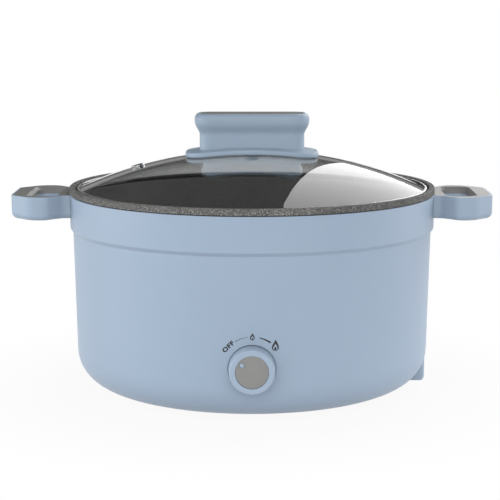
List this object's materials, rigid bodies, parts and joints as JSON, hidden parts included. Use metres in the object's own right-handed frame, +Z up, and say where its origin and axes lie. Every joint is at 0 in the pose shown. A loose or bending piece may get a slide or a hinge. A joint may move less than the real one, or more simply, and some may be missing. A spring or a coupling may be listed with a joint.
{
  "type": "electric hot pot with lid",
  "caption": "Round electric hot pot: moulded body with side handles, fixed non-stick pan, front heat knob, side appliance inlet and a domed glass lid that lifts off.",
  "frame": {"origin": "on the pot's upright axis, on the surface that the four feet stand on", "axes": "+Z up along the pot's axis; -Y towards the control knob, the front; +X towards the appliance inlet, through both side handles"},
  "size_m": [0.391, 0.308, 0.2253],
  "materials": {
    "housing_blue": "fine satin moulding grain",
    "handle_blue": "fine satin moulding grain",
    "knob_blue": "satin",
    "trim_grey": "satin",
    "cover_grey": "fine texture",
    "black_rubber": "matt",
    "clear_silicone": "soft satin",
    "nonstick_coating": "matt speckled non-stick coating",
    "bare_aluminium": "as cast",
    "sheath_steel": "annealed",
    "white_ceramic": "unglazed ceramic and moulding",
    "plated_brass": "nickel plated",
    "zinc_steel": "zinc plated",
    "stainless_bright": "polished stainless",
    "black_plastic": "satin",
    "brown_sleeve": "braided sleeve",
    "blue_sleeve": "braided sleeve",
    "green_sleeve": "braided sleeve",
    "lid_glass": "clear tempered glass"
  },
  "bodies": {
    "base": {"outer_housing": "housing_blue", "bottom_cover": "cover_grey", "cover_screws": "zinc_steel", "rubber_feet": "black_rubber", "rim_gasket": "black_rubber", "inner_pan": "nonstick_coating", "pan_studs": "zinc_steel", "pan_spacers": "zinc_steel", "pan_nuts": "zinc_steel", "mounting_ring": "zinc_steel", "post_screws": "zinc_steel", "post_nuts": "zinc_steel", "heater_plate": "bare_aluminium", "heating_element": "sheath_steel", "element_seals": "white_ceramic", "element_tabs": "plated_brass", "reflector_tray": "zinc_steel", "thermal_fuse": "white_ceramic", "fuse_clip": "zinc_steel", "thermostat_body": "white_ceramic", "thermostat_terminals": "plated_brass", "thermostat_bracket": "zinc_steel", "thermostat_nut": "zinc_steel", "bracket_screws": "zinc_steel", "inlet_block": "housing_blue", "inlet_socket": "black_plastic", "inlet_pins": "plated_brass", "inlet_screws": "zinc_steel", "right_handle_shell": "handle_blue", "right_handle_cover": "trim_grey", "left_handle_shell": "handle_blue", "left_handle_cover": "trim_grey", "handle_screws": "zinc_steel", "live_cable": "brown_sleeve", "fused_cable": "brown_sleeve", "switched_cable": "brown_sleeve", "neutral_cable": "blue_sleeve", "earth_lug": "plated_brass", "earth_cable": "green_sleeve"},
    "lid": {"lid_glass": "lid_glass", "lid_rim_band": "stainless_bright", "steam_eyelet": "stainless_bright", "lid_handle_pad": "clear_silicone", "lid_handle": "handle_blue", "lid_handle_cap": "trim_grey", "lid_washer": "clear_silicone", "lid_screw": "stainless_bright"},
    "knob": {"knob": "knob_blue", "knob_disc": "trim_grey", "knob_pointer": "knob_blue", "thermostat_shaft": "zinc_steel"}
  },
  "joints": [
    {"name": "lid_lift", "type": "slide", "parent": "base", "child": "lid", "axis": [0, 0, 1], "range_m": [0, 0.12]},
    {"name": "knob_turn", "type": "hinge", "parent": "base", "child": "knob", "pos_m": [0, -0.15, 0.0457], "axis": [0, 1, 0], "range_deg": [0, 100]}
  ]
}
